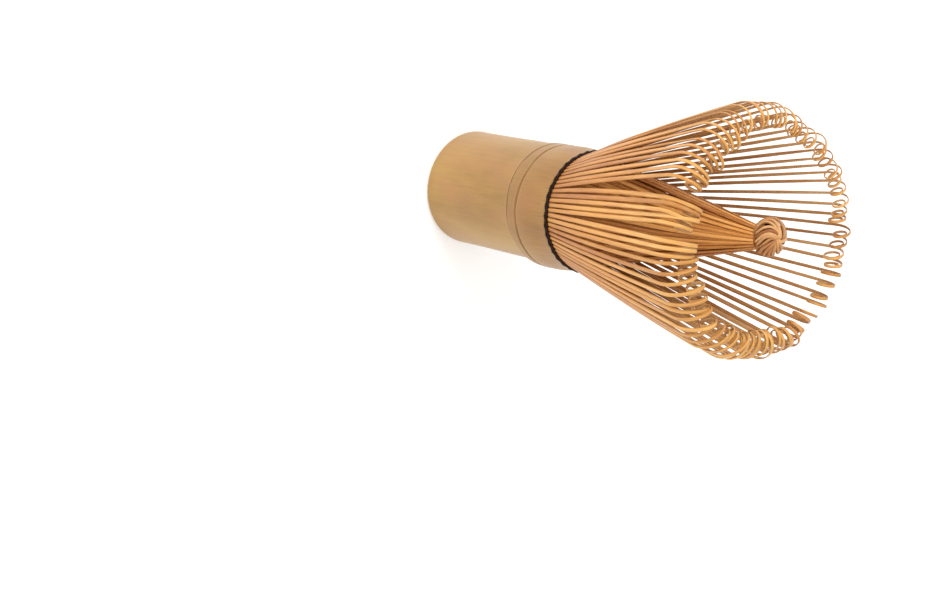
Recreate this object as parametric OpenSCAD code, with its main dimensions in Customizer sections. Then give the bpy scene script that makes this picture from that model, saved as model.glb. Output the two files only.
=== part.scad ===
// Bamboo tea whisk (chasen): a length of culm whose far end is split into fine tines.
// Millimetres. The handle's cut end stands on z = 0, the axis is +Z, the tines point up.
// Sixteen primary splits each give one group of outer tines and a share of the inner
// ones. The outer tines flare out and curl over at the tip, the inner tines close into
// a cone whose tips are twisted into one knot, and a thread holds the roots.

/* [Handle] */
// Outer radius of the culm at its cut end
handle_r = 14.7; // [13:0.1:16]
// Outer radius of the culm at the node ring
node_r = 15.65; // [15.4:0.05:17]
// Height of the lower line of the node ring
node_z = 35.1; // [30:0.1:38]
// Distance between the two lines of the node ring
node_w = 3.8; // [3:0.1:5]
// Outer radius of the collar under the thread
collar_r = 15.35; // [15:0.05:15.6]
// Height at which the splits begin
root_z = 51.2; // [47:0.1:55]
// Radius of the hollow inside the culm
bore_r = 11.2; // [9:0.1:11.6]
// Depth of the step in the rim in which the inner tines sway
seat_d = 0.8; // [0.5:0.05:1.5]
// Thickness of the node's diaphragm inside the culm
diaphragm_t = 2.6; // [1.5:0.1:4]

/* [Outer tines] */
// Tines in each primary split
tines_per_split = 5; // [3:1:5]
// Radius of a tine's middle at its root
outer_root_r = 14.95; // [14.6:0.05:15.1]
// Radius at which a tine starts to bend over
flare_r = 29.75; // [24:0.25:32]
// Height at which a tine starts to bend over
flare_z = 103.2; // [90:0.1:106]
// How far the leg bows outward from a straight line
leg_bow = 0.3; // [0:0.1:1.5]
// Radius of the first part of the bend
bend_r = 8.5; // [6:0.1:10]
// Radius of the tight curl at the tip
curl_r = 1.85; // [1.4:0.05:2.3]
// Total angle through which the tip turns
curl_turn = 396; // [300:12:396]
// Width of a tine
tine_w = 0.84; // [0.5:0.01:0.9]
// Thickness of a tine at its root
tine_t0 = 0.6; // [0.4:0.05:0.7]
// Thickness of a tine at its curl
tine_t1 = 0.36; // [0.25:0.01:0.45]

/* [Inner tines and knot] */
// Number of inner tine groups
inner_groups = 8; // [8:1:8]
// Tines in each inner group
inner_per_group = 5; // [4:1:5]
// Radius of an inner tine's middle at its root
inner_root_r = 12.9; // [12.6:0.1:13.2]
// Radius of the cone just under the knot
inner_tip_r = 2.5; // [2.2:0.1:3]
// Height of the knot's centre
knot_z = 110; // [106:0.5:112]
// Radius of the knot
knot_r = 3.9; // [3.4:0.1:4.4]

/* [Thread] */
// Radius of one wrap of the thread
thread_r = 0.34; // [0.25:0.01:0.4]
// Number of wraps side by side
thread_wraps = 2; // [1:1:3]

/* [Lean] */
// How far the flare leans along X at the rim
lean_x = -2; // [-2.5:0.5:2.5]
// How far the flare leans along Y at the rim
lean_y = -2.6; // [-3:0.1:3]
// How much further along +Y the tines on the -X side lean at the rim
side_lean = 4; // [0:0.5:4]
// How far the tines beside them are pushed round the rim
side_spread = 3; // [0:0.1:3]

/* [Hidden] */
splits = 16;
outer_n = splits * tines_per_split;
inner_n = inner_groups * inner_per_group;
tine_z0 = root_z + 0.12;         // the tines' lower ends clear the collar as they flex
inner_z1 = knot_z - knot_r + 1.1; // the inner tips run up into the knot
rim_h = 50;                      // height over the roots at which the lean is given
curl_step = 18;                  // degrees of turn between points of the curl
skin = "#d3b27c";
flesh = "#dca768";
core_c = "#cf8f4c";

// A repeatable small irregularity from -1 to 1 for tine number i.
function frac(x) = x - floor(x);
function wobble(i, k) = 2 * frac(abs(sin(i * 97.31 + k * 57.7)) * 43.7585) - 1;
function smooth(u) = let (v = min(1, max(0, u))) v * v * (3 - 2 * v);
function mix(a, b, u) = a + (b - a) * u;

// Centre line of an outer tine in its own radial plane: [radius, height, heading].
function leg_p(u, a, b, c) = (1 - u) * (1 - u) * a + 2 * (1 - u) * u * b + u * u * c;
function leg_d(u, a, b, c) = (1 - u) * (b - a) + u * (c - b);
function heading(v) = atan2(v[1], v[0]);
function curl_radius(q) = mix(bend_r, curl_r, smooth(q / 130));
function arc_r(a, q) = curl_radius(q + curl_step / 2) * curl_step * PI / 180 * cos(a + q + curl_step / 2);
function arc_z(a, q) = curl_radius(q + curl_step / 2) * curl_step * PI / 180 * sin(a + q + curl_step / 2);
function tine_line(turn) =
    let (a = [outer_root_r, tine_z0], c = [flare_r, flare_z],
         d = (c - a) / norm(c - a), b = (a + c) / 2 + 2 * leg_bow * [d[1], -d[0]],
         h = heading(c - b))
    concat(
        [for (k = [0:5]) let (u = k / 6, p = leg_p(u, a, b, c)) [p[0], p[1], heading(leg_d(u, a, b, c))]],
        [for (q = 0, r = c[0], z = c[1]; q <= turn;
              r = r + arc_r(h, q), z = z + arc_z(h, q), q = q + curl_step) [r, z, h + q]]);

// A ribbon's side outline around a centre line, t0 thick at the start and t1 at the end.
function side(line, t0, t1, s) = [for (k = [0:len(line) - 1])
    let (p = line[k], t = mix(t0, t1, min(1, k / 9)) / 2 * s)
    [p[0] - sin(p[2]) * t, p[1] + cos(p[2]) * t]];
function back(v) = [for (k = [len(v) - 1:-1:0]) v[k]];
module ribbon(line, t0, t1, w)
    rotate([90, 0, 0]) linear_extrude(height = w, center = true)
        polygon(concat(side(line, t0, t1, 1), back(side(line, t0, t1, -1))));

// Leans a tine that stands at azimuth a, about its root, so that the whole flare shifts
// by lean_x along X and ly along Y at the rim, and this tine by shift round the rim.
module leaned(a, r, ly, shift, extra)
    rotate([0, 0, a]) translate([r, 0, tine_z0])
    rotate([atan2(lean_x * sin(a) - ly * cos(a) - shift, rim_h),
            atan2(lean_x * cos(a) + ly * sin(a), rim_h) + extra, 0])
    translate([-r, 0, -tine_z0]) children();

// The flare has set unevenly: the tines on the -X side lean less towards -Y, and they
// stand wider apart than the ones beside them.
function outer_lean(a) = lean_y + side_lean * (a <= 180 ? smooth((a - 112) / 40) : smooth((280 - a) / 50));
function outer_shift(a) = let (u = (180 - min(a, 360 - a)) / 110)
    u > 1 ? 0 : (a <= 180 ? -1 : 1) * side_spread * sin(180 * u);

module outer_tine(i) {
    a = (i + 0.5) * 360 / outer_n;
    leaned(a, outer_root_r, outer_lean(a), outer_shift(a), 0.45 * wobble(i, 1))
    ribbon(tine_line(curl_turn - curl_step * round(1 + wobble(i, 2))), tine_t0, tine_t1, tine_w);
}

module outer_group(g)
    color(flesh) for (k = [0:tines_per_split - 1]) outer_tine(g * tines_per_split + k);

// Inner tines bow out a little on the way to the knot and narrow as they close.
function inner_line() =
    let (a = [inner_root_r, tine_z0], c = [inner_tip_r - 0.35, inner_z1],
         d = (c - a) / norm(c - a), b = (a + c) / 2 + 2 * 1.1 * [d[1], -d[0]])
    [for (k = [0:8]) let (u = k / 8, p = leg_p(u, a, b, c)) [p[0], p[1], heading(leg_d(u, a, b, c))]];

module inner_tine(i) {
    a = (i + 0.5) * 360 / inner_n;
    half = 0.41 * 360 / inner_n;
    leaned(a, inner_root_r, lean_y, 0, 0)
    intersection() {
        ribbon(inner_line(), 0.62, 0.5, 1.3);
        linear_extrude(height = knot_z + 5)
            polygon([[0, 0], [20 * cos(half), 20 * sin(half)], [20 * cos(half), -20 * sin(half)]]);
    }
}

module inner_group(g)
    color(core_c) for (k = [0:inner_per_group - 1]) inner_tine(g * inner_per_group + k);

// The culm: cut end, long barrel, node ring with its two lines, collar, and the
// diaphragm that closes the hollow at the node.
module handle() color(skin) difference() {
    rotate_extrude($fn = 96) polygon([
        [0, 0], [handle_r - 0.9, 0], [handle_r - 0.35, 0.2], [handle_r - 0.08, 0.6], [handle_r, 1.3],
        [handle_r + 0.12, 14], [handle_r + 0.4, 24], [node_r - 0.35, node_z - 3],
        [node_r - 0.1, node_z - 0.5], [node_r - 0.28, node_z], [node_r - 0.02, node_z + 0.5],
        [node_r, node_z + node_w / 2], [node_r - 0.05, node_z + node_w - 0.5],
        [node_r - 0.28, node_z + node_w], [node_r - 0.12, node_z + node_w + 0.5],
        [collar_r + 0.15, node_z + node_w + 4], [collar_r, root_z - 2.2], [collar_r, root_z], [0, root_z]]);
    translate([0, 0, -1]) cylinder(h = node_z + 1 + node_w / 2 - diaphragm_t / 2, r = bore_r, $fn = 96);
    translate([0, 0, node_z + node_w / 2 + diaphragm_t / 2]) cylinder(h = root_z, r = bore_r + 0.4, $fn = 96);
    translate([0, 0, root_z - seat_d]) cylinder(h = seat_d + 1, r = inner_root_r + 1, $fn = 96);
}

// Wraps of thread pulled a little into the collar.
module binding_thread() color("#241a14")
    for (k = [0:thread_wraps - 1])
        translate([0, 0, root_z - 0.38 - k * 2.02 * thread_r])
            rotate_extrude($fn = 96) translate([collar_r + thread_r - 0.06, 0]) circle(r = thread_r, $fn = 24);

// The tie of the thread, with its two cut ends, on the side away from the parting.
module thread_knot() color("#241a14")
    rotate([0, 0, 180]) translate([collar_r + 2 * thread_r + 0.5, 0, root_z - 0.75]) {
        sphere(r = 0.62, $fn = 24);
        for (s = [-1, 1]) rotate([0, 0, s * 62]) rotate([0, 96, 0]) cylinder(h = 2.6, r = 0.24, $fn = 16);
    }

// The inner tips wound into a ball: bands side by side round a cross axis.
module core_knot()
    color("#d9a35f") translate([lean_x * 1.35, lean_y * 0.85, knot_z]) rotate([0, 0, 25]) rotate([62, 0, 0])
        rotate_extrude($fn = 48) intersection() {
            translate([0, -6]) square([12, 12]);
            union() {
                circle(r = knot_r - 0.45, $fn = 32);
                for (b = [-54, -27, 0, 27, 54])
                    rotate([0, 0, b]) translate([knot_r - 1, 0]) circle(r = 1, $fn = 24);
            }
        }

handle();
binding_thread();
thread_knot();
outer_group(0);  // outer_tines_01
outer_group(1);  // outer_tines_02
outer_group(2);  // outer_tines_03
outer_group(3);  // outer_tines_04
outer_group(4);  // outer_tines_05
outer_group(5);  // outer_tines_06
outer_group(6);  // outer_tines_07
outer_group(7);  // outer_tines_08
outer_group(8);  // outer_tines_09
outer_group(9);  // outer_tines_10
outer_group(10);  // outer_tines_11
outer_group(11);  // outer_tines_12
outer_group(12);  // outer_tines_13
outer_group(13);  // outer_tines_14
outer_group(14);  // outer_tines_15
outer_group(15);  // outer_tines_16
inner_group(0);  // inner_tines_01
inner_group(1);  // inner_tines_02
inner_group(2);  // inner_tines_03
inner_group(3);  // inner_tines_04
inner_group(4);  // inner_tines_05
inner_group(5);  // inner_tines_06
inner_group(6);  // inner_tines_07
inner_group(7);  // inner_tines_08
core_knot();
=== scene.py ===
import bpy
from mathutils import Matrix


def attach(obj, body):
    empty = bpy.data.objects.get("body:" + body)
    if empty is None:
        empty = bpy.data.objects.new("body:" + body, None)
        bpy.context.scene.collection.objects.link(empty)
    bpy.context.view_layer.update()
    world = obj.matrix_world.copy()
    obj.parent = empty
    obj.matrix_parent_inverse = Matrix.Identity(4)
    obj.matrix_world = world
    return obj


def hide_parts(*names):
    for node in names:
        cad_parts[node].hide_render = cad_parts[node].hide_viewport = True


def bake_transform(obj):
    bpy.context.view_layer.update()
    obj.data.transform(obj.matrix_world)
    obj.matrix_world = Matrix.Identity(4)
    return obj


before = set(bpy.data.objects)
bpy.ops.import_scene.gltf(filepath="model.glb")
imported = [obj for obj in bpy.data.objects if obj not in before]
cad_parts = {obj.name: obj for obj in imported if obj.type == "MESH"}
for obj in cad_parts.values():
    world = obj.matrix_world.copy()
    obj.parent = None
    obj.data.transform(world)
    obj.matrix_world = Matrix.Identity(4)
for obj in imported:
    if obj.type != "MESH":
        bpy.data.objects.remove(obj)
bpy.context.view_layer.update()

import math

import bpy
import numpy as np
from mathutils import Matrix, Vector

MM = 0.001
RNG = np.random.default_rng(20260711)

# ---------------------------------------------------------------- dimensions, mm, as the CAD part has them
ROOT_Z, Z0 = 51.2, 51.32
OUT_R, FLARE_R, FLARE_Z, BOW = 14.95, 29.75, 103.2, 0.3
BEND_R, CURL_R = 8.5, 2.22
IN_R, TIP_R, KNOT_Z, KNOT_R = 12.9, 2.5, 110.0, 3.9
LEAN_X, LEAN_Y, SIDE_LEAN, SPREAD, RIM_H = -2.0, -2.6, 4.0, 3.6, 50.0
NODE_Z, NODE_W, NODE_R, COLLAR_R, BORE_R = 35.1, 3.8, 15.6, 15.35, 11.2
N_OUT, N_IN = 80, 80


def frac(x):
    return x - math.floor(x)


def wobble(i, k):
    return 2 * frac(abs(math.sin(math.radians(i * 97.31 + k * 57.7))) * 43.7585) - 1


def smooth(u):
    u = np.clip(u, 0, 1)
    return u * u * (3 - 2 * u)


def unit(v):
    v = np.asarray(v, float)
    return v / np.maximum(np.linalg.norm(v, axis=-1, keepdims=True), 1e-12)


def rot(axis, deg):
    return np.array(Matrix.Rotation(math.radians(deg), 3, Vector(axis)))


# ---------------------------------------------------------------- mesh building
class Build:
    """Collects swept strips and tubes into one mesh with its grain coordinates."""

    def __init__(self):
        self.v, self.f, self.grain, self.tone, self.along = [], [], [], [], []
        self.side, self.face, self.shade = [], [], []
        self.n = 0

    def add(self, verts, faces, grain, tone, along, side, face, shade):
        self.v.append(verts)
        self.f += [tuple(int(k) + self.n for k in face) for face in faces]
        self.grain.append(grain)
        self.tone.append(np.full(len(verts), tone) if np.isscalar(tone) else tone)
        self.along.append(along)
        self.side.append(side)
        self.face.append(face)
        self.shade.append(np.full(len(verts), shade))
        self.n += len(verts)

    def sweep(self, P, N, B, w, t, tone, seed, chamfer=0.3, section=None, along=None, shade=1.0):
        """A strip along P, w wide along B and t thick along N, all in mm, closed at both ends."""
        P, N, B = (np.asarray(x, float) for x in (P, N, B))
        n = len(P)
        w, t = np.broadcast_to(w, n), np.broadcast_to(t, n)
        if section is None:
            c = chamfer
            section = [(-1 + c, -1), (1 - c, -1), (1, -1 + c), (1, 1 - c), (1 - c, 1), (-1 + c, 1), (-1, 1 - c), (-1, -1 + c)]
            # the corner's cut is the same length across the width as through the thickness
            sec = []
            for a, b in section:
                sec.append((a, b))
            ax = np.array([s[0] for s in sec])
            bx = np.array([s[1] for s in sec])
            cut = np.minimum(t / w, 1.0) * c
            A = np.where(np.abs(ax)[None, :] < 0.999, np.sign(ax)[None, :] * (1 - cut[:, None]), ax[None, :])
            Bx = np.broadcast_to(bx, A.shape)
        else:
            ax = np.array([s[0] for s in section])
            bx = np.array([s[1] for s in section])
            A = np.broadcast_to(ax, (n, len(ax)))
            Bx = np.broadcast_to(bx, (n, len(ax)))
        m = A.shape[1]
        off_b = A * (w[:, None] / 2)
        off_n = Bx * (t[:, None] / 2)
        V = P[:, None, :] + off_b[..., None] * B[:, None, :] + off_n[..., None] * N[:, None, :]
        s = np.concatenate([[0], np.cumsum(np.linalg.norm(np.diff(P, axis=0), axis=1))])
        g = np.stack([off_b + seed * 7.13, off_n + seed * 3.77, np.broadcast_to(s[:, None] + seed * 11.9, off_b.shape)], -1)
        faces = []
        for i in range(n - 1):
            a, b = i * m, (i + 1) * m
            for j in range(m):
                k = (j + 1) % m
                faces.append((a + j, a + k, b + k, b + j))
        faces.append(tuple(range(m - 1, -1, -1)))
        faces.append(tuple(range((n - 1) * m, n * m)))
        al = np.repeat((s / s[-1]) if along is None else np.asarray(along, float), m)
        self.add(V.reshape(-1, 3), faces, g.reshape(-1, 3), tone, al, A.ravel(), np.asarray(Bx, float).ravel(), shade)

    def tube(self, P, r, tone, seed, sides=8, along=None):
        P = np.asarray(P, float)
        T = unit(np.gradient(P, axis=0))
        ref = np.array([0.0, 0, 1]) if abs(T[0][2]) < 0.9 else np.array([1.0, 0, 0])
        N = np.zeros_like(P)
        N[0] = unit(np.cross(T[0], ref))
        for i in range(1, len(P)):
            v = N[i - 1] - T[i] * (N[i - 1] @ T[i])
            N[i] = v / np.linalg.norm(v)
        B = np.cross(T, N)
        sec = [(math.cos(2 * math.pi * k / sides), math.sin(2 * math.pi * k / sides)) for k in range(sides)]
        self.sweep(P, N, B, np.broadcast_to(2 * np.asarray(r, float), len(P)), np.broadcast_to(2 * np.asarray(r, float), len(P)), tone, seed, section=sec, along=along)

    def object(self, name, material, smooth_angle=None):
        me = bpy.data.meshes.new(name)
        V = np.concatenate(self.v) * MM
        me.from_pydata(V.tolist(), [], self.f)
        me.update()
        for key, data, kind in (("grain", np.concatenate(self.grain), "FLOAT_VECTOR"), ("tone", np.concatenate(self.tone), "FLOAT"), ("along", np.concatenate(self.along), "FLOAT"),
                                ("side", np.concatenate(self.side), "FLOAT"), ("face", np.concatenate(self.face), "FLOAT"), ("shade", np.concatenate(self.shade), "FLOAT")):
            at = me.attributes.new(key, kind, "POINT")
            at.data.foreach_set("vector" if kind == "FLOAT_VECTOR" else "value", np.asarray(data, np.float32).ravel())
        me.polygons.foreach_set("use_smooth", [True] * len(me.polygons))
        if smooth_angle:
            me.set_sharp_from_angle(angle=math.radians(smooth_angle))
        ob = bpy.data.objects.new(name, me)
        bpy.context.scene.collection.objects.link(ob)
        me.materials.append(material)
        fix_normals(me)
        return ob


def fix_normals(me):
    import bmesh
    bm = bmesh.new()
    bm.from_mesh(me)
    bmesh.ops.recalc_face_normals(bm, faces=bm.faces)
    bm.to_mesh(me)
    bm.free()


# ---------------------------------------------------------------- materials
def srgb(r, g, b):
    return tuple((c / 255 / 12.92 if c <= 10 else ((c / 255 + 0.055) / 1.055) ** 2.4) for c in (r, g, b)) + (1.0,)


class Nodes:
    def __init__(self, name):
        self.m = bpy.data.materials.new(name)
        self.m.use_nodes = True
        self.t = self.m.node_tree
        self.t.nodes.clear()
        self.out = self.t.nodes.new("ShaderNodeOutputMaterial")
        self.p = self.t.nodes.new("ShaderNodeBsdfPrincipled")
        self.t.links.new(self.p.outputs[0], self.out.inputs[0])

    def link(self, a, b):
        self.t.links.new(a, b)

    def node(self, kind, **kw):
        n = self.t.nodes.new(kind)
        for k, v in kw.items():
            setattr(n, k, v)
        return n

    def attr(self, name, out="Vector"):
        n = self.node("ShaderNodeAttribute", attribute_name=name)
        return n.outputs[out]

    def scale(self, vec, s):
        n = self.node("ShaderNodeMapping")
        self.link(vec, n.inputs["Vector"])
        n.inputs["Scale"].default_value = s
        return n.outputs[0]

    def noise(self, vec, scale=1.0, detail=3.0, rough=0.55, distortion=0.0):
        n = self.node("ShaderNodeTexNoise")
        self.link(vec, n.inputs["Vector"])
        n.inputs["Scale"].default_value = scale
        n.inputs["Detail"].default_value = detail
        n.inputs["Roughness"].default_value = rough
        n.inputs["Distortion"].default_value = distortion
        return n.outputs["Fac"]

    def ramp(self, fac, stops, interp="LINEAR"):
        n = self.node("ShaderNodeValToRGB")
        n.color_ramp.interpolation = interp
        e = n.color_ramp.elements
        while len(e) < len(stops):
            e.new(0.5)
        for el, (pos, col) in zip(e, stops):
            el.position = pos
            el.color = col if len(col) == 4 else (*col, 1.0)
        self.link(fac, n.inputs[0])
        return n.outputs["Color"]

    def mix(self, fac, a, b, mode="MIX"):
        n = self.node("ShaderNodeMix", data_type="RGBA", blend_type=mode)
        for sock, val in ((n.inputs[0], fac), (n.inputs[6], a), (n.inputs[7], b)):
            if hasattr(val, "links"):
                self.link(val, sock)
            else:
                sock.default_value = val
        return n.outputs[2]

    def math(self, op, a, b=None, clamp=False):
        n = self.node("ShaderNodeMath", operation=op, use_clamp=clamp)
        for sock, val in zip(n.inputs, (a, b)):
            if val is None:
                continue
            if hasattr(val, "links"):
                self.link(val, sock)
            else:
                sock.default_value = val
        return n.outputs[0]

    def range(self, v, a, b, c, d, clamp=True):
        n = self.node("ShaderNodeMapRange", clamp=clamp)
        self.link(v, n.inputs["Value"])
        for k, x in zip(("From Min", "From Max", "To Min", "To Max"), (a, b, c, d)):
            n.inputs[k].default_value = x
        return n.outputs[0]

    def bump(self, height, strength, distance, normal=None):
        n = self.node("ShaderNodeBump")
        n.inputs["Strength"].default_value = strength
        n.inputs["Distance"].default_value = distance
        self.link(height, n.inputs["Height"])
        if normal is not None:
            self.link(normal, n.inputs["Normal"])
        return n.outputs[0]


def strip_material(name, dark, mid, light, rough=0.42, coat=0.12, root_dark=None, root_end=0.16, edge=(0.72, 0.5), crease_shade_col=(0.62, 0.50, 0.40, 1), leg=None, flesh=None, curl=None):
    """Split and shaved bamboo: long fibres along the strip, each strip its own tone."""
    M = Nodes(name)
    g = M.attr("grain")
    tone = M.attr("tone", "Fac")
    along = M.attr("along", "Fac")
    face = M.attr("face", "Fac")
    fine = M.noise(M.scale(g, (9.0, 9.0, 0.35)), 1.0, 4.0, 0.6)
    broad = M.noise(M.scale(g, (1.6, 1.6, 0.09)), 1.0, 3.0, 0.5)
    pores = M.noise(M.scale(g, (16.0, 16.0, 0.9)), 1.0, 2.0, 0.5)
    v = M.math("ADD", M.math("MULTIPLY", fine, 0.5), M.math("MULTIPLY", broad, 0.5))
    v = M.math("ADD", v, M.math("MULTIPLY", M.math("SUBTRACT", tone, 0.5), 0.5))
    col = M.ramp(v, [(0.30, dark), (0.50, mid), (0.70, light)])
    spots = M.ramp(pores, [(0.0, (0.55, 0.5, 0.45)), (0.36, (0.80, 0.76, 0.7)), (0.46, (1, 1, 1))])
    col = M.mix(0.6, col, spots, "MULTIPLY")
    inward = M.range(face, -0.2, 0.7, 0.0, 1.0)
    if leg is not None:
        # the split side wood of the legs is redder than the curled tips
        col = M.mix(M.math("MULTIPLY", M.range(along, 0.40, 0.62, 1.0, 0.0), M.math("SUBTRACT", 1.0, inward)), col, leg, "MULTIPLY")
    if curl is not None:
        col = M.mix(M.range(along, 0.46, 0.66, 0.0, 1.0), col, curl, "MULTIPLY")
    if flesh is not None:
        # the side that was the inside of the culm is greyer
        col = M.mix(inward, col, flesh, "MULTIPLY")
    if root_dark is not None:
        col = M.mix(M.range(along, 0.0, root_end, 0.85, 0.0), col, root_dark, "MULTIPLY")
    # painted shade: each strip darkens towards its long edges, where the creases between neighbouring strips fall
    rim = M.range(M.math("ABSOLUTE", M.attr("side", "Fac")), edge[0], 1.0, 0.0, edge[1])
    col = M.mix(rim, col, crease_shade_col, "MULTIPLY")
    # painted shade: the colour is multiplied by each strip's shade attribute, which darkens the knot's filler strands
    col = M.mix(1.0, col, M.attr("shade", "Fac"), "MULTIPLY")
    M.link(col, M.p.inputs["Base Color"])
    M.link(M.range(fine, 0.3, 0.7, rough - 0.07, rough + 0.12), M.p.inputs["Roughness"])
    M.p.inputs["Coat Weight"].default_value = coat
    M.p.inputs["Coat Roughness"].default_value = 0.35
    M.p.inputs["Specular IOR Level"].default_value = 0.4
    n = M.bump(fine, 0.35, 0.00006)
    n = M.bump(pores, 0.25, 0.00004, n)
    M.link(n, M.p.inputs["Normal"])
    return M.m


mat_outer = strip_material("bamboo_outer_tine", srgb(176, 113, 48), srgb(206, 146, 72), srgb(225, 171, 96), root_dark=(0.76, 0.68, 0.60, 1), root_end=0.36,
                           leg=(0.98, 0.90, 0.72, 1), flesh=(0.80, 0.88, 1.32, 1), curl=(1.05, 1.10, 1.16, 1))
mat_inner = strip_material("bamboo_inner_tine", srgb(160, 94, 36), srgb(208, 138, 62), srgb(234, 170, 92), rough=0.46, root_dark=(0.62, 0.48, 0.40, 1), root_end=0.24,
                           edge=(0.70, 0.6))
# the knot's strips get the darkest painted crease shade along their edges
mat_knot = strip_material("bamboo_knot", srgb(152, 92, 42), srgb(190, 132, 76), srgb(214, 162, 106), rough=0.46, edge=(0.62, 0.9), crease_shade_col=(0.42, 0.33, 0.25, 1))


def culm_material():
    """The culm's own skin, its brown node lines, its cut end and the hollow inside."""
    M = Nodes("bamboo_culm")
    g = M.attr("grain")
    along = M.attr("along", "Fac")
    tone = M.attr("tone", "Fac")
    fine = M.noise(M.scale(g, (5.5, 5.5, 0.10)), 1.0, 4.0, 0.62)
    hair = M.noise(M.scale(g, (14.0, 14.0, 0.22)), 1.0, 2.0, 0.5)
    blotch = M.noise(M.scale(g, (0.10, 0.10, 0.05)), 1.0, 3.0, 0.5)
    v = M.math("ADD", M.math("MULTIPLY", fine, 0.42), M.math("MULTIPLY", blotch, 0.58))
    skin = M.ramp(v, [(0.30, srgb(150, 110, 52)), (0.48, srgb(172, 131, 66)), (0.66, srgb(188, 149, 80))])
    streak = M.ramp(hair, [(0.0, (0.72, 0.66, 0.58)), (0.34, (0.88, 0.84, 0.79)), (0.44, (1, 1, 1))])
    skin = M.mix(0.55, skin, streak, "MULTIPLY")
    # brown of the node lines, painted where the mesh has its grooves
    warm = M.noise(M.scale(g, (0.13, 0.13, 0.06)), 1.0, 2.0, 0.5)
    skin = M.mix(M.range(warm, 0.45, 0.72, 0.0, 0.45), skin, srgb(184, 128, 90))
    band = M.math("MULTIPLY", M.range(along, NODE_Z - 0.1, NODE_Z + 0.3, 0.0, 1.0), M.range(along, NODE_Z + NODE_W - 0.3, NODE_Z + NODE_W + 0.2, 1.0, 0.0))
    skin = M.mix(band, skin, (0.86, 0.82, 0.76, 1), "MULTIPLY")
    skin = M.mix(M.attr("line", "Fac"), skin, srgb(114, 70, 30))
    # warmer and darker above the node
    skin = M.mix(1.0, skin, (0.85, 0.81, 0.66, 1), "MULTIPLY")
    skin = M.mix(M.range(along, 38.4, 41.0, 0.0, 1.0), skin, (0.88, 0.80, 0.74, 1), "MULTIPLY")
    # small dark splits that run back from the thread
    near = M.range(along, 45.5, 50.5, 0.0, 1.0)
    cuts = M.noise(M.scale(g, (3.2, 3.2, 0.16)), 1.0, 2.0, 0.5)
    cutm = M.math("MULTIPLY", M.range(cuts, 0.57, 0.63, 0.0, 0.8), near)
    skin = M.mix(cutm, skin, srgb(110, 68, 30))
    # inside of the culm and its ends
    pith = M.ramp(fine, [(0.3, srgb(196, 158, 106)), (0.7, srgb(226, 196, 148))])
    dots = M.node("ShaderNodeTexVoronoi", feature="F1")
    M.link(M.scale(g, (1.9, 1.9, 1.9)), dots.inputs["Vector"])
    dots.inputs["Scale"].default_value = 1.0
    d = M.range(dots.outputs["Distance"], 0.16, 0.30, 1.0, 0.0)
    ends = M.mix(M.math("MULTIPLY", d, 0.75), pith, srgb(120, 78, 40))
    inner = M.mix(M.attr("cut", "Fac"), pith, ends)
    col = M.mix(tone, skin, inner)
    M.link(col, M.p.inputs["Base Color"])
    r = M.range(fine, 0.3, 0.7, 0.34, 0.46)
    rm = M.math("ADD", r, M.math("MULTIPLY", tone, 0.28))
    M.link(rm, M.p.inputs["Roughness"])
    M.p.inputs["Coat Weight"].default_value = 0.18
    M.p.inputs["Coat Roughness"].default_value = 0.32
    M.p.inputs["Specular IOR Level"].default_value = 0.45
    n = M.bump(fine, 0.22, 0.00008)
    n = M.bump(hair, 0.25, 0.00004, n)
    M.link(n, M.p.inputs["Normal"])
    return M.m


def thread_material():
    M = Nodes("dark_thread")
    g = M.attr("grain")
    fibre = M.noise(M.scale(g, (16.0, 16.0, 3.0)), 1.0, 3.0, 0.6)
    col = M.ramp(fibre, [(0.3, srgb(24, 11, 6)), (0.6, srgb(44, 22, 13)), (0.8, srgb(74, 42, 27))])
    M.link(col, M.p.inputs["Base Color"])
    M.link(M.range(fibre, 0.3, 0.7, 0.62, 0.85), M.p.inputs["Roughness"])
    M.p.inputs["Specular IOR Level"].default_value = 0.2
    M.link(M.bump(fibre, 0.5, 0.00008), M.p.inputs["Normal"])
    return M.m


mat_culm = culm_material()
mat_thread = thread_material()


# ---------------------------------------------------------------- the culm
def pull_in(a_deg):
    """How far the thread draws the collar in, most on the -Y side."""
    return 0.42 * max(0.0, -math.sin(math.radians(a_deg))) ** 1.3


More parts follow.
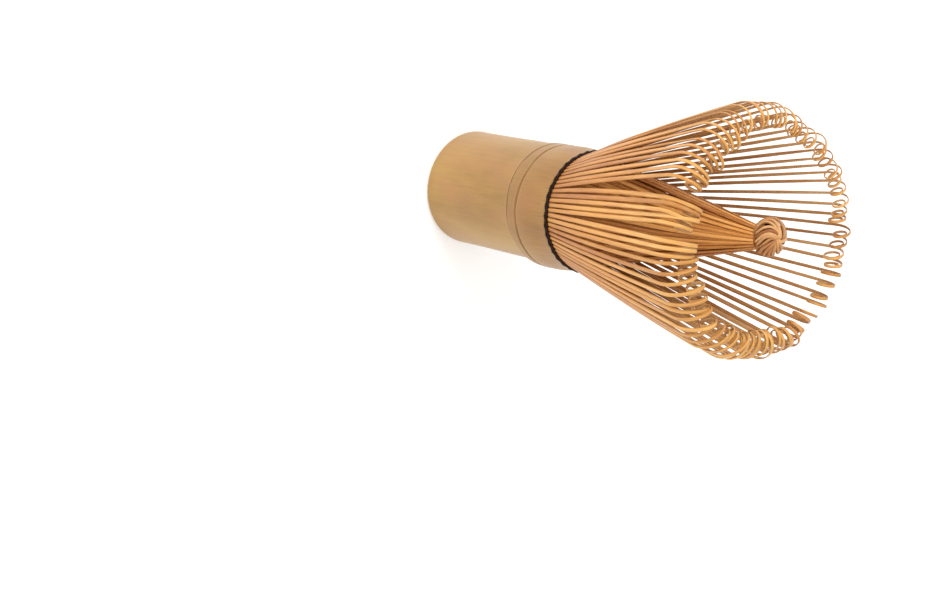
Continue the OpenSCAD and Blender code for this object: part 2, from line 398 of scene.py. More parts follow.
def build_culm():
    seg = 224
    prof = []  # radius, height, surface: 0 skin, 1 inside; cut face flag; line depth

    def skin_r(z):
        pts = [(0, 14.7), (14, 14.8), (24, 14.92), (NODE_Z - 5, NODE_R - 0.62), (NODE_Z - 1.2, NODE_R - 0.56), (NODE_Z - 0.4, NODE_R - 0.22), (NODE_Z + 0.5, NODE_R - 0.06),
               (NODE_Z + NODE_W / 2, NODE_R + 0.02), (NODE_Z + NODE_W - 0.6, NODE_R + 0.02), (NODE_Z + NODE_W + 0.8, NODE_R + 0.04),
               (NODE_Z + NODE_W + 4, COLLAR_R + 0.28), (ROOT_Z - 2.2, COLLAR_R), (ROOT_Z - 1.25, COLLAR_R - 0.02), (ROOT_Z - 1.05, COLLAR_R - 0.28), (ROOT_Z, COLLAR_R - 0.3)]
        return float(np.interp(z, [p[0] for p in pts], [p[1] for p in pts]))

    # the skin, from the rounded cut edge up to the roots
    for a in np.linspace(0, 90, 7):
        r = skin_r(0) - 0.95 + 0.95 * math.sin(math.radians(a))
        z = 0.95 - 0.95 * math.cos(math.radians(a))
        prof.append((r, z, 0.0 if a > 25 else 1.0, 1.0 if a <= 25 else 0.0))
    zs = np.unique(np.concatenate([np.linspace(1.2, 33, 46), np.linspace(33, 41.5, 70), np.linspace(41.5, ROOT_Z - 0.25, 22)]))
    for z in zs:
        prof.append((skin_r(z), z, 0.0, 0.0))
    prof.append((COLLAR_R - 0.36, ROOT_Z - 0.06, 0.0, 0.0))
    prof.append((COLLAR_R - 0.5, ROOT_Z, 1.0, 1.0))
    for r in (14.2, 13.2, 12.4):
        prof.append((r, ROOT_Z, 1.0, 1.0))
    prof.append((BORE_R + 0.55, ROOT_Z - 0.1, 1.0, 0.5))
    top = NODE_Z + NODE_W / 2 + 1.3
    for z in np.linspace(ROOT_Z - 0.6, top + 1.3, 8):
        prof.append((BORE_R + 0.4, z, 1.0, 0.0))
    for a in np.linspace(15, 90, 5):
        prof.append((BORE_R + 0.4 - 1.3 * math.sin(math.radians(a)) * 1.0, top + 1.3 - 1.3 * math.sin(math.radians(a)), 1.0, 0.0))
    for r in (8, 5, 2.2):
        prof.append((r, top + 0.1 * (r < 4), 1.0, 0.0))
    n_top = len(prof)
    # the hollow under the node's diaphragm
    low = NODE_Z + NODE_W / 2 - 1.3
    under = []
    for r in (2.2, 5, 8):
        under.append((r, low - 0.1 * (r < 4), 1.0, 0.0))
    for a in np.linspace(90, 15, 5):
        under.append((BORE_R - 1.3 * math.sin(math.radians(a)), low - 1.3 + 1.3 * math.sin(math.radians(a)), 1.0, 0.0))
    for z in np.linspace(low - 1.5, 1.0, 14):
        under.append((BORE_R, z, 1.0, 0.0))
    under.append((BORE_R + 0.12, 0.25, 1.0, 0.5))
    under.append((BORE_R + 0.4, 0.0, 1.0, 1.0))
    for r in (12.2, 13.0):
        under.append((r, 0.0, 1.0, 1.0))
    rows = prof + under
    V, G, TN, AL, LN, CT = [], [], [], [], [], []
    for k, (r, z, inside, cut) in enumerate(rows):
        for j in range(seg):
            t = 2 * math.pi * j / seg
            rr, zz = r, z
            line = 0.0
            if inside < 0.5:
                # a culm is never quite round, and its fibres show as very low ridges
                rr += 0.07 * math.cos(2 * t + 0.6) + 0.03 * math.cos(3 * t + 2.0)
                rr += 0.018 * math.sin(23 * t + 0.03 * z) * math.sin(9 * t + 1.0) + 0.012 * math.sin(57 * t)
                fade = smooth((z - 1) / 4)
                rr = r + (rr - r) * float(fade) * (1.0 if z < 47 else max(0.0, (51 - z) / 4))
                # the collar swells past the node, more on the +Y side, and the thread draws it in
                rr += (0.08 + 0.40 * math.sin(t)) * float(smooth((z - NODE_Z + 0.6) / 1.6) * smooth((48.6 - z) / 8.5))
                rr -= pull_in(math.degrees(t)) * float(smooth((z - 43.5) / 6.0))
                for zl, ph in ((NODE_Z, 0.0), (NODE_Z + NODE_W, 1.9)):
                    zc = zl + 0.22 * math.sin(2 * t + ph) + 0.12 * math.sin(5 * t + 2 * ph) + 0.05 * math.sin(13 * t + ph)
                    d = (z - zc) / (0.22 + 0.04 * math.sin(7 * t + ph))
                    groove = math.exp(-d * d)
                    lip = math.exp(-((z - zc + 0.62) / 0.32) ** 2)
                    rr += -0.24 * groove + 0.05 * lip
                    line = max(line, math.exp(-(d / 1.15) ** 4) * (0.74 + 0.2 * math.sin(9 * t + ph) * math.sin(4 * t)))
            else:
                if z > 1 and z < 50.5:
                    rr += 0.10 * math.cos(2 * t + 1.1) + 0.05 * math.sin(7 * t)
            V.append((rr * math.cos(t), rr * math.sin(t), zz))
            if cut > 0.4:
                G.append((rr * math.cos(t), rr * math.sin(t), 3.0))
            else:
                G.append((15 * math.cos(t), 15 * math.sin(t), z + (60 if inside > 0.5 else 0)))
            TN.append(inside)
            AL.append(z)
            LN.append(line)
            CT.append(1.0 if cut > 0.4 else 0.0)
    F = []

    def band(a, b):
        for j in range(seg):
            k = (j + 1) % seg
            F.append((a * seg + j, a * seg + k, b * seg + k, b * seg + j))

    for k in range(n_top - 1):
        band(k, k + 1)
    for k in range(n_top, len(rows) - 1):
        band(k, k + 1)
    band(len(rows) - 1, 0)
    # the two faces of the diaphragm close with a centre point
    for ring, z in ((n_top - 1, top + 0.12), (n_top, low - 0.12)):
        V.append((0, 0, z))
        G.append((0, 0, z + 60))
        TN.append(1.0); AL.append(z); LN.append(0.0); CT.append(0.0)
        c = len(V) - 1
        for j in range(seg):
            k = (j + 1) % seg
            F.append((ring * seg + j, ring * seg + k, c))
    me = bpy.data.meshes.new("culm_handle")
    me.from_pydata((np.array(V) * MM).tolist(), [], F)
    me.update()
    for key, data in (("tone", TN), ("along", AL), ("line", LN), ("cut", CT)):
        at = me.attributes.new(key, "FLOAT", "POINT")
        at.data.foreach_set("value", np.asarray(data, np.float32))
    at = me.attributes.new("grain", "FLOAT_VECTOR", "POINT")
    at.data.foreach_set("vector", np.asarray(G, np.float32).ravel())
    me.polygons.foreach_set("use_smooth", [True] * len(me.polygons))
    fix_normals(me)
    me.set_sharp_from_angle(angle=math.radians(55))
    ob = bpy.data.objects.new("culm_handle", me)
    bpy.context.scene.collection.objects.link(ob)
    me.materials.append(mat_culm)
    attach(ob, "root")
    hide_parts("handle")
    return ob


# ---------------------------------------------------------------- outer tines
def wrap180(a):
    return (a + 180) % 360 - 180


def lateral_shift(t):
    """How far a tine's tip stands off its own plane, mm along the ring, by its azimuth: the strips on
    the near side part in two bunches, as a used whisk's do."""
    t = wrap180(t)
    if t < -13.5:
        part = -1.3 * math.exp(-(-13.5 - t) / 16.0)
    else:
        part = float(np.interp(t, [-13.5, -11.25, -6.75, -2.25, 2.25, 6.75, 9, 11.25, 15.75, 20.25, 24.75, 36, 60],
                               [1.6, 1.6, 1.0, 0.2, -0.5, -1.3, -1.3, 0.4, -0.2, -0.5, -0.4, -0.2, 0]))
    return part


def by_azimuth(t, table):
    """A value given at some azimuths, taken round the ring."""
    xs = [p[0] for p in table]
    ys = [p[1] for p in table]
    return float(np.interp(wrap180(t), [xs[-1] - 360] + xs + [xs[0] + 360], [ys[-1]] + ys + [ys[0]]))


# how each side of a used whisk has set: the turn of the curls, the shortening of the flare and the widths
TWIST = [(-175, 14), (-165, 12), (-150, 3), (-135, 5), (-120, 5), (-90, -6), (-60, -15), (-35, -17), (-14, -17), (-13, -10), (8, -11), (12, -4),
         (30, -6), (45, -17), (75, -14), (100, -6), (120, -6), (135, -2), (150, 4), (165, 10)]
SHORT = [(-175, 0.5), (-160, -0.4), (-145, -1.3), (-130, -1.8), (-115, -1.4), (-95, -0.3), (-80, 0.1), (-60, 0.0), (80, 0.0), (110, 0.4), (125, 1.3), (140, 2.0), (155, 2.0), (170, 1.2)]
LEG_W = [(-160, 0.74), (-135, 0.88), (-110, 1.05), (-60, 1.20), (-20, 1.14), (0, 1.02), (30, 1.08), (60, 1.14), (90, 1.14), (130, 1.12), (150, 1.0), (165, 0.84)]
CURL_K = [(-165, 0.92), (-145, 0.74), (-75, 0.70), (-45, 0.95), (120, 1.0), (165, 0.95)]
TIP_W = [(-170, 0.70), (-130, 0.52), (-90, 0.52), (-60, 0.60), (-30, 0.85), (0, 0.95), (60, 1.0), (100, 0.98), (130, 0.86), (160, 0.74)]


def side_lean(a_deg):
    """How much further towards +Y a tine leans at the rim than the near ones do."""
    if a_deg <= 180:
        return SIDE_LEAN * float(smooth((a_deg - 112) / 40))
    return SIDE_LEAN * float(smooth((280 - a_deg) / 50))


def spread(a_deg):
    """The far tines stand wider apart and the ones at the sides closer: the shift along the ring at the rim."""
    u = (180 - abs(wrap180(a_deg))) / 110.0
    return 0.0 if u > 1 else -math.copysign(SPREAD, wrap180(a_deg)) * math.sin(math.pi * u)


def tine_path(i):
    a_deg = (i + 0.5) * 360.0 / N_OUT
    t = wrap180(a_deg)
    near = math.exp(-(t / 38.0) ** 2)
    far = float(smooth((abs(t) - 70) / 75.0))
    fr = FLARE_R + 0.30 * wobble(i, 3)
    fz = FLARE_Z - 0.5 + 0.7 * wobble(i, 4)
    br = (BEND_R - 0.3 - 1.2 * near - 1.3 * far) * (1 + 0.09 * wobble(i, 5))
    cr = CURL_R * (1 + 0.09 * wobble(i, 6)) * by_azimuth(t, CURL_K)
    turn = 490 + 60 * wobble(i, 7) + 120 * math.exp(-((t + 112) / 34.0) ** 2)
    twist = by_azimuth(t, TWIST) + 9 * wobble(i, 8)
    a = np.array([OUT_R, Z0])
    c = np.array([fr, fz])
    d = (c - a) / np.linalg.norm(c - a)
    c = c - by_azimuth(t, SHORT) * d
    b = (a + c) / 2 + 2 * BOW * np.array([d[1], -d[0]])
    u = np.concatenate([[-0.028, -0.012], np.linspace(0, 1, 30)])
    leg = (1 - u)[:, None] ** 2 * a + (2 * (1 - u) * u)[:, None] * b + (u ** 2)[:, None] * c
    dl = (1 - u)[:, None] * (b - a) + u[:, None] * (c - b)
    hl = np.arctan2(dl[:, 1], dl[:, 0])
    nleg = len(leg)
    step = math.radians(7.5)
    qs = np.arange(0, math.radians(turn), step)

    def radius(q):
        qd = math.degrees(q)
        r = br + (cr - br) * float(smooth(qd / 125.0))
        return r * (1 - 0.30 * float(np.clip((qd - 125) / 400.0, 0, 1)))

    pts, heads, x = [], [], c.copy()
    h0 = hl[-1]
    for q in qs[1:]:
        rm = radius(q - step / 2)
        x = x + rm * step * np.array([math.cos(h0 + q - step / 2), math.sin(h0 + q - step / 2)])
        pts.append(x.copy())
        heads.append(h0 + q)
    rz = np.concatenate([leg, np.array(pts)])
    hd = np.concatenate([hl, np.array(heads)])
    P = np.stack([rz[:, 0], np.zeros(len(rz)), rz[:, 1]], -1)
    T = np.stack([np.cos(hd), np.zeros(len(rz)), np.sin(hd)], -1)
    N = np.stack([-np.sin(hd), np.zeros(len(rz)), np.cos(hd)], -1)
    B = np.tile(np.array([0.0, 1.0, 0.0]), (len(rz), 1))
    # the strip is twisted about itself on the way up, which turns the plane of its curl
    tw = np.concatenate([twist * smooth(u), np.full(len(pts), twist)])
    for k in range(nleg):
        R = rot(T[k], tw[k])
        N[k], B[k] = R @ N[k], R @ B[k]
    R = rot(T[nleg - 1], twist)
    P[nleg:] = (P[nleg:] - P[nleg - 1]) @ R.T + P[nleg - 1]
    T[nleg:], N[nleg:], B[nleg:] = T[nleg:] @ R.T, N[nleg:] @ R.T, B[nleg:] @ R.T
    # natural set of each strip
    h = np.clip(P[:, 2] - Z0, 0, None) / 50.0
    g = np.clip(h, 0, 1.15) ** 1.7
    P[:, 1] += g * (lateral_shift(t) + 0.28 * wobble(i, 9))
    P[:, 0] += g * (-1.9 * near + 0.25 * wobble(i, 10))
    P[:, 1] += 0.22 * wobble(i, 11) * np.sin(np.clip(h, 0, 1.1) * 3.0)
    P[:, 0] -= pull_in(a_deg) * (1 - smooth((P[:, 2] - Z0) / 14.0))
    # the flare's lean, as the CAD tines have it
    ly = LEAN_Y + side_lean(a_deg)
    ay = math.degrees(math.atan2(LEAN_X * math.cos(math.radians(a_deg)) + ly * math.sin(math.radians(a_deg)), RIM_H)) + 0.45 * wobble(i, 1)
    ax = math.degrees(math.atan2(LEAN_X * math.sin(math.radians(a_deg)) - ly * math.cos(math.radians(a_deg)) - spread(a_deg), RIM_H))
    M = rot((0, 1, 0), ay) @ rot((1, 0, 0), ax)
    pivot = np.array([OUT_R, 0, Z0])
    keep = smooth((P[:, 2] - (Z0 - 0.8)) / 0.8)[:, None]
    P = P * (1 - keep) + ((P - pivot) @ M.T + pivot) * keep
    T, N, B = T @ M.T, N @ M.T, B @ M.T
    Z = rot((0, 0, 1), a_deg)
    P, T, N, B = P @ Z.T, T @ Z.T, N @ Z.T, B @ Z.T
    # width and thickness: shaved thinner and narrower towards the tip
    s = np.concatenate([[0], np.cumsum(np.linalg.norm(np.diff(P, axis=0), axis=1))])
    k = s / s[-1]
    wv = 1 + 0.06 * wobble(i, 12)
    full = wv * np.interp(s, [0, 2.5, 14, 30, 50, 62, 74, 90], [0.90, 0.93, 1.05, 1.05, 1.0, 0.94, 0.86, 0.74])
    slim = 1 + (by_azimuth(t, LEG_W) - 1) * smooth((s - 1.5) / 16.0)
    slim = slim + (by_azimuth(t, TIP_W) - slim) * smooth((s - 42.0) / 20.0)
    w = full * slim
    w = w * (1 + 0.02 * np.sin(s * 0.9 + i))
    th = np.interp(s, [0, 6, 30, 52, 62, 80], [0.70, 0.58, 0.46, 0.36, 0.28, 0.23])
    # the very tip is cut to a blunt point
    w[-3:] *= np.array([0.9, 0.75, 0.5])
    return P, N, B, w, th, k


def build_outer():
    for sector in range(16):
        m = Build()
        for j in range(5):
            i = sector * 5 + j
            P, N, B, w, th, k = tine_path(i)
            tone = 0.5 + 0.30 * wobble(i, 13)
            m.sweep(P, N, B, w, th, tone, i * 0.731 + 0.5, chamfer=0.55, along=k)
        ob = m.object(f"tines_outer_{sector + 1:02d}", mat_outer, 60)
        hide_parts(f"outer_tines_{sector + 1:02d}")
        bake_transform(ob)


# ---------------------------------------------------------------- inner tines
def inner_path(i):
    a_deg = (i + 0.5) * 360.0 / N_IN
    a = np.array([IN_R + 0.15 * wobble(i, 21), Z0])
    layer = (0.0, 1.0, 0.35, 0.7)[i % 4]
    tip = 2.25 - 0.9 * layer
    c = np.array([tip, KNOT_Z - KNOT_R + 1.6])
    d = (c - a) / np.linalg.norm(c - a)
    b = (a + c) / 2 + 2 * (0.62 - 0.40 * layer + 0.12 * wobble(i, 22)) * np.array([d[1], -d[0]])
    u = np.concatenate([[-0.028, -0.012], np.linspace(0, 1, 34)])
    rz = (1 - u)[:, None] ** 2 * a + (2 * (1 - u) * u)[:, None] * b + (u ** 2)[:, None] * c
    dl = (1 - u)[:, None] * (b - a) + u[:, None] * (c - b)
    hd = np.arctan2(dl[:, 1], dl[:, 0])
    n = len(rz)
    P = np.stack([rz[:, 0], np.zeros(n), rz[:, 1]], -1)
    N = np.stack([-np.sin(hd), np.zeros(n), np.cos(hd)], -1)
    T = np.stack([np.cos(hd), np.zeros(n), np.sin(hd)], -1)
    B = np.tile(np.array([0.0, 1.0, 0.0]), (n, 1))
    h = np.clip((P[:, 2] - Z0) / 55.0, 0, 1.1)
    P[:, 1] += 0.35 * wobble(i, 23) * np.sin(h * math.pi)
    P[:, 0] += 0.18 * wobble(i, 24) * np.sin(h * math.pi)
    # gathered with a slight turn towards the knot
    swirl = 16 * smooth(h)
    lx, ly = 1.15 * LEAN_X, 0.48 * LEAN_Y
    ca, sa = math.cos(math.radians(a_deg)), math.sin(math.radians(a_deg))
    ay = math.degrees(math.atan2(lx * ca + ly * sa, RIM_H))
    ax = math.degrees(math.atan2(-(ly * ca - lx * sa), RIM_H))
    Ms = [rot((0, 0, 1), s) for s in swirl]
    P = np.array([m @ p for m, p in zip(Ms, P)])
    N = np.array([m @ p for m, p in zip(Ms, N)])
    B = np.array([m @ p for m, p in zip(Ms, B)])
    M = rot((0, 1, 0), ay) @ rot((1, 0, 0), ax)
    pivot = np.array([IN_R, 0, Z0])
    keep = smooth((P[:, 2] - (Z0 - 0.8)) / 0.8)[:, None]
    P = P * (1 - keep) + ((P - pivot) @ M.T + pivot) * keep
    N, B = N @ M.T, B @ M.T
    Z = rot((0, 0, 1), a_deg)
    P, N, B = P @ Z.T, N @ Z.T, B @ Z.T
    s = np.concatenate([[0], np.cumsum(np.linalg.norm(np.diff(P, axis=0), axis=1))])
    w = np.interp(s, [0, 3, 20, 45, 58], [0.88, 0.98, 1.06, 0.86, 0.64]) * (1 + 0.06 * wobble(i, 25))
    th = np.interp(s, [0, 20, 58], [0.55, 0.42, 0.36])
    return P, N, B, w, th, s / s[-1]


def build_inner():
    for g in range(8):
        m = Build()
        for j in range(10):
            i = g * 10 + j
            P, N, B, w, th, k = inner_path(i)
            m.sweep(P, N, B, w, th, 0.5 + 0.34 * wobble(i, 26), 90 + i * 0.613, chamfer=0.55, along=k)
        ob = m.object(f"tines_inner_{g + 1:02d}", mat_inner, 60)
        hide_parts(f"inner_tines_{g + 1:02d}")
        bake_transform(ob)


# ---------------------------------------------------------------- the knot of the inner tips
# A local frame at the knot: across and up as the viewer at the mouth's side sees it, and out towards them.
PHI, ROLL = 41.4294, 101.4209
OUTW = np.array([math.sin(math.radians(PHI)), 0, math.cos(math.radians(PHI))])
_right = np.array([0.0, 1.0, 0.0])
_up = np.cross(_right, -OUTW)
cr_, sr_ = math.cos(math.radians(ROLL)), math.sin(math.radians(ROLL))
VR = cr_ * _right + sr_ * _up
VU = -sr_ * _right + cr_ * _up
KNOT_C = np.array([LEAN_X * 1.35, LEAN_Y * 0.85, KNOT_Z])


def catmull(pts, n=36):
    pts = np.asarray(pts, float)
    ext = np.vstack([2 * pts[0] - pts[1], pts, 2 * pts[-1] - pts[-2]])
    out = []
    segs = len(pts) - 1
    for u in np.linspace(0, segs - 1e-6, n):
        k = int(u)
        f = u - k
        p0, p1, p2, p3 = ext[k:k + 4]
        out.append(0.5 * ((2 * p1) + (-p0 + p2) * f + (2 * p0 - 5 * p1 + 4 * p2 - p3) * f * f + (-p0 + 3 * p1 - 3 * p2 + p3) * f ** 3))
    return np.array(out)


def knot_strip(m, pts, w, th, tone, seed, n=40, lift=0.0, centre=(0, 0, 0), shade=1.0):
    """A strip through points given across, up and out from the knot's centre, flat on the ball."""
    c = catmull(pts, n)
    P = KNOT_C + c[:, :1] * VR + c[:, 1:2] * VU + c[:, 2:3] * OUTW
    C = KNOT_C + centre[0] * VR + centre[1] * VU + centre[2] * OUTW
    T = unit(np.gradient(P, axis=0))
    N = unit(P - C)
    N = unit(N - (N * T).sum(1, keepdims=True) * T)
    P = P + N * lift
    B = np.cross(T, N)
    k = np.linspace(0, 1, n)
    ww = w * (0.78 + 0.22 * np.sin(np.clip(k, 0, 1) * math.pi))
    sec = [(math.copysign(abs(math.cos(a)) ** 0.8, math.cos(a)), math.copysign(abs(math.sin(a)) ** 0.8, math.sin(a))) for a in np.arange(12) * math.pi / 6]
    m.sweep(P, N, B, ww, np.full(n, th), tone, seed, section=sec, shade=shade)


def build_knot():
    m = Build()
    rng = np.random.default_rng(7)
    tone = lambda: float(np.clip(0.52 + 0.42 * rng.uniform(-1, 1), 0, 1))
    w, th = 0.86, 0.58
    # the outer band: up from behind on the left, over the top and down the right side
    A = [
        (1.34, -0.6, 1.6, [(-3.5, 0.9), (-3.3, 2.2), (-2.2, 3.5), (-0.7, 4.2), (0.77, 4.26), (2.0, 3.64), (2.8, 2.4), (3.1, 0.93), (2.9, -0.3)]),
        (1.22, 0.0, 2.4, [(-3.2, 1.67), (-2.2, 3.15), (-0.7, 3.9), (0.64, 3.77), (1.63, 2.65), (2.06, 1.17), (2.06, -0.06)]),
        (1.10, 0.6, 2.6, [(-2.9, 2.16), (-1.7, 3.27), (-0.47, 3.4), (0.64, 2.78), (1.38, 1.67), (1.7, 0.43)]),
        (1.30, -2.0, 0.2, [(-3.1, 0.6), (-3.0, 1.9), (-2.2, 3.2), (-0.8, 4.1), (0.9, 4.15), (2.4, 3.4), (3.25, 2.1), (3.5, 0.6), (3.2, -0.9)]),
        (0.90, 0.5, 0.9, [(-3.3, 0.93), (-3.06, 1.67), (-2.2, 2.28), (-1.2, 2.53)]),
    ]
    for n_, (wd, za, zb, flat) in enumerate(A):
        c = [(x, y, za + (zb - za) * k / (len(flat) - 1)) for k, (x, y) in enumerate(flat)]
        c = [(c[0][0] + 0.4, c[0][1] - 0.8, c[0][2] - 1.2)] + c
        if n_ != 4:
            c.append((c[-1][0] - 0.35, c[-1][1] - 0.8, c[-1][2] + 0.1))
        knot_strip(m, c, wd, 0.64, tone(), 200 + n_ * 1.7, n=52)
    # the inner band: from the lower left, bulging forward, to the pinch at the right of centre
    Bs = [
        [(-2.94, 1.05, 1.4), (-1.7, 1.98, 2.5), (-0.22, 2.28, 2.9), (0.89, 1.79, 2.9), (1.5, 1.05, 2.6)],
        [(-3.06, 0.19, 1.5), (-1.7, 1.05, 2.9), (-0.1, 1.42, 3.4), (1.14, 0.93, 3.1), (1.5, 0.43, 2.7)],
        [(-2.94, -0.68, 1.5), (-1.83, 0.31, 2.9), (-0.35, 0.74, 3.6), (1.0, 0.31, 3.3), (1.44, -0.19, 2.8)],
        [(-2.57, -1.3, 1.5), (-1.46, -0.19, 3.0), (-0.1, 0.19, 3.6), (1.14, -0.31, 3.1)],
        [(-2.2, -2.16, 1.2), (-1.2, -1.3, 2.7), (0.0, -0.43, 3.3), (1.26, -0.56, 2.9)],
    ]
    for n_, c in enumerate(Bs):
        c = [(c[0][0] - 0.3, c[0][1] - 0.4, c[0][2] - 1.5)] + c
        knot_strip(m, c, 0.80, 0.60, tone(), 230 + n_ * 1.3, n=38)
    # the tails: a fan of small loops from the pinch down
    P0 = (1.38, -0.68, 2.75)
    tails = [[(-0.22, -1.54), (-1.7, -2.53), (-2.44, -3.4)], [(0.27, -1.9), (-0.84, -3.0), (-1.46, -4.0)], [(0.64, -2.0), (-0.22, -3.4), (-0.47, -4.4)],
             [(1.0, -2.16), (0.64, -3.4), (0.52, -4.1)], [(1.5, -1.9), (1.63, -2.9), (1.75, -3.6)], [(2.0, -1.5), (2.4, -2.3), (2.3, -3.0)], [(2.25, -1.05), (2.99, -0.8), (3.48, -0.3)]]
    for n_, q in enumerate(tails):
        lift = 0.14 * math.sin(n_ * 2.1)
        c = [P0] + [(x, y, z + lift) for (x, y), z in zip(q, (3.1, 2.2, 1.1))]
        e = q[-1]
        c += [(e[0] * 0.97, e[1] * 0.97, 0.1), (e[0] * 0.82, e[1] * 0.84, -0.8)]
        knot_strip(m, c, 0.92, 0.66, tone(), 260 + n_ * 1.1, n=44)
    # round the back the bundle crosses itself
    for n_ in range(6):
        o = (n_ - 2.5) * 0.62
        c = [(-2.9, -1.2 + o * 0.5, 0.2), (-2.4, -1.6 + o, -1.4), (-0.8, -0.9 + o, -2.9), (0.9, 0.2 + o, -2.9), (2.4, 1.0 + o * 0.8, -1.6), (3.1, 0.9 + o * 0.5, 0.2)]
        knot_strip(m, c, 0.74, th, tone(), 290 + n_ * 1.9, n=36)
    for n_ in range(6):
        o = (n_ - 2.5) * 0.62
        c = [(-1.6 + o * 0.6, -3.2, 1.0), (-1.4 + o, -3.4, -0.6), (-0.6 + o, -2.2, -2.2), (0.2 + o, -0.4, -2.7), (0.4 + o, 1.6, -2.4), (0.1 + o * 0.8, 3.3, -1.0), (-0.1 + o * 0.6, 3.5, 0.3)]
        knot_strip(m, c, 0.74, th, tone(), 320 + n_ * 1.9, n=40)
    # the tucked strands that fill the middle, coloured dark as painted shade for the knot's hollow
    for n_ in range(9):
        a = n_ * 40.0
        ca, sa = math.cos(math.radians(a)), math.sin(math.radians(a))
        c = [(-2.7, 1.6 * ca, 1.6 * sa), (-1.6, 2.4 * ca, 2.1 * sa), (0.2, 2.7 * math.cos(math.radians(a + 25)), 2.3 * math.sin(math.radians(a + 25))), (1.9, 2.2 * math.cos(math.radians(a + 60)), 1.9 * math.sin(math.radians(a + 60))), (2.8, 0.7, 0.2)]
        knot_strip(m, c, 1.7, 0.5, 0.15, 350 + n_ * 1.9, n=30, shade=0.32)
    ob = m.object("knot_core", mat_knot, 60)
    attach(ob, "core")
    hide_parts("core_knot")


# ---------------------------------------------------------------- thread
def build_thread():
    m = Build()
    n = 1300
    for wrap in range(2):
        for ply in range(2):
            t = np.linspace(0, 2 * math.pi, n, endpoint=True)
            weave = np.cos(t * 40 + wrap * math.pi)
            r = COLLAR_R - 0.02 + 0.09 * weave - np.array([pull_in(math.degrees(q)) for q in t])
            z = ROOT_Z - 0.24 - wrap * 0.62 + 0.10 * np.sin(t * 40 + wrap * math.pi) * 0.6 + 0.10 * np.sin(3 * t + wrap) + 0.07 * np.sin(11 * t)
            s = t * COLLAR_R
            ang = 2 * math.pi * s / 1.15 + ply * math.pi
            rr = r + 0.185 * np.cos(ang)
            zz = z + 0.185 * np.sin(ang)
            P = np.stack([rr * np.cos(t), rr * np.sin(t), zz], -1)
            m.tube(P, 0.20, 0.5, 400 + wrap * 3.1 + ply * 1.7, sides=7)
    ob = m.object("thread_wraps", mat_thread)
    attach(ob, "root")
    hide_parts("binding_thread")
    # the tie, on the side away from the parting: an overhand knot and its two cut ends
    m = Build()
    C = np.array([-(COLLAR_R + 0.60), 0, ROOT_Z - 0.55])
    ex, ey, ez = np.array([-1.0, 0, 0]), np.array([0, 1.0, 0]), np.array([0, 0, 1.0])
    u = np.linspace(-2.4, 2.4, 160)
    for ply in range(2):
        x = 0.42 * np.cos(1.9 * u) * np.exp(-(u / 1.7) ** 4) - 0.02
        y = 0.62 * np.sin(2.5 * u) * np.exp(-(u / 1.5) ** 4) + 0.75 * np.sign(u) * np.clip(np.abs(u) - 1.2, 0, None) * 1.25
        zz = 0.46 * np.sin(3.8 * u) * np.exp(-(u / 1.6) ** 4) - 0.12 * np.clip(np.abs(u) - 1.2, 0, None) ** 2
        base = C + x[:, None] * ex + y[:, None] * ey + zz[:, None] * ez
        T = unit(np.gradient(base, axis=0))
        N = unit(np.cross(T, ex + 0.01))
        Bv = np.cross(T, N)
        s = np.concatenate([[0], np.cumsum(np.linalg.norm(np.diff(base, axis=0), axis=1))])
        ang = 2 * math.pi * s / 1.1 + ply * math.pi
        P = base + 0.13 * np.cos(ang)[:, None] * N + 0.13 * np.sin(ang)[:, None] * Bv
        m.tube(P, 0.16, 0.5, 440 + ply * 2.3, sides=7)
    ob = m.object("thread_tie", mat_thread)
    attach(ob, "root")
    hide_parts("thread_knot")


build_culm()
build_outer()
build_inner()
build_knot()
build_thread()


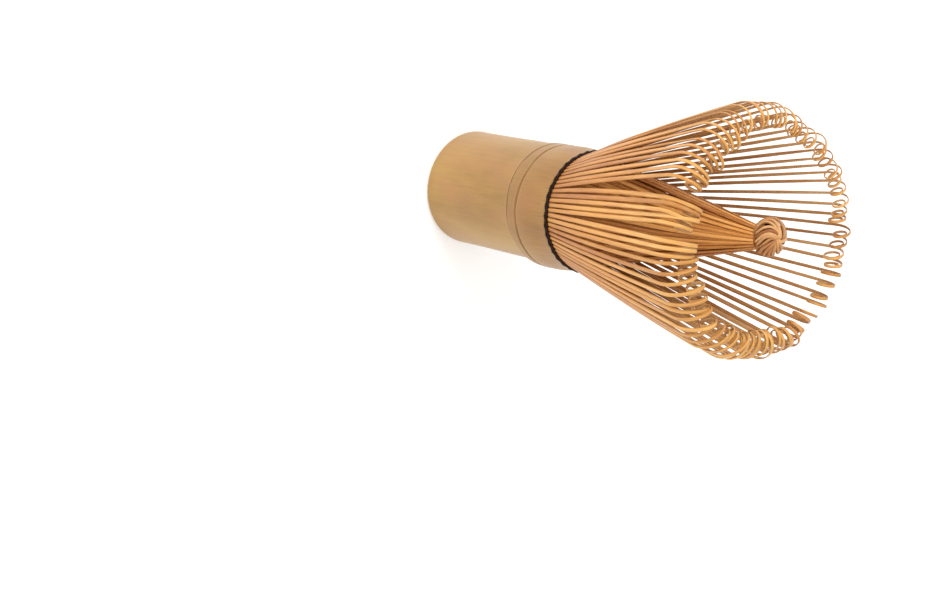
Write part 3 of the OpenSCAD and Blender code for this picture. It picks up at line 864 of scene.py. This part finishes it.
# ---------------------------------------------------------------- stage, lights and camera
def build_stage():
    me = bpy.data.meshes.new("floor")
    s = 3.0
    n = 24
    V = [(-s + 2 * s * i / n, -s + 2 * s * j / n, 0.0) for j in range(n + 1) for i in range(n + 1)]
    F = [(j * (n + 1) + i, j * (n + 1) + i + 1, (j + 1) * (n + 1) + i + 1, (j + 1) * (n + 1) + i) for j in range(n) for i in range(n)]
    me.from_pydata(V, [], F)
    ob = bpy.data.objects.new("floor", me)
    bpy.context.scene.collection.objects.link(ob)
    M = Nodes("floor_paper")
    tc = M.node("ShaderNodeTexCoord")
    f = M.noise(tc.outputs["Object"], 60.0, 3.0, 0.5)
    M.link(M.ramp(f, [(0.3, (0.90, 0.90, 0.895)), (0.7, (0.93, 0.93, 0.925))]), M.p.inputs["Base Color"])
    M.p.inputs["Roughness"].default_value = 0.85
    M.p.inputs["Emission Color"].default_value = (1.0, 1.0, 1.0, 1.0)
    M.p.inputs["Emission Strength"].default_value = 0.16
    me.materials.append(M.m)


def area(name, pos, target, size, power, colour=(1, 1, 1)):
    L = bpy.data.lights.new(name, "AREA")
    L.shape = "DISK"
    L.size = size
    L.energy = power
    L.color = colour
    ob = bpy.data.objects.new(name, L)
    bpy.context.scene.collection.objects.link(ob)
    ob.location = pos
    ob.rotation_euler = (Vector(target) - Vector(pos)).to_track_quat("-Z", "Y").to_euler()
    return ob


build_stage()
world = bpy.data.worlds.new("studio")
bpy.context.scene.world = world
world.use_nodes = True
bg = world.node_tree.nodes.get("Background") or world.node_tree.nodes.new("ShaderNodeBackground")
bg.inputs[0].default_value = (1.0, 1.0, 1.0, 1)
bg.inputs[1].default_value = 1.0
mid = (0, 0, 0.07)
area("key", (0.45, -0.75, 0.75), mid, 0.55, 5.2, (1.0, 0.985, 0.96))
area("fill", (0.9, 0.35, 0.85), mid, 0.8, 2.2, (1.0, 0.99, 0.98))

W, H, F_PX = 925.0, 596.0, 2500.0
D = math.exp(6.36863982) * 1.048
T3 = np.array([0, 0, 62.88])
C3 = T3 + OUTW * D
d = np.array([(626.257 - W / 2) / F_PX, -(217.838 - H / 2) / F_PX, -1.0])
d /= np.linalg.norm(d)
a0 = np.array([0, 0, -1.0])
vx = np.cross(a0, d)
K = np.array([[0, -vx[2], vx[1]], [vx[2], 0, -vx[0]], [-vx[1], vx[0], 0]])
Rc = np.eye(3) + K + K @ K / (1 + a0 @ d)
world_to_cam = Rc @ np.stack([VR, VU, OUTW])
cam = bpy.data.cameras.new("camera")
cam.sensor_width = 36.0
cam.sensor_fit = "HORIZONTAL"
cam.lens = F_PX / W * 36.0
cam.clip_start, cam.clip_end = 0.02, 20.0
co = bpy.data.objects.new("camera", cam)
bpy.context.scene.collection.objects.link(co)
mw = Matrix(np.vstack([np.column_stack([world_to_cam.T, C3 * MM]), [0, 0, 0, 1]]).tolist())
co.matrix_world = mw
bpy.context.scene.camera = co
bpy.context.scene.view_settings.view_transform = "Standard"
bpy.context.scene.view_settings.look = "None"
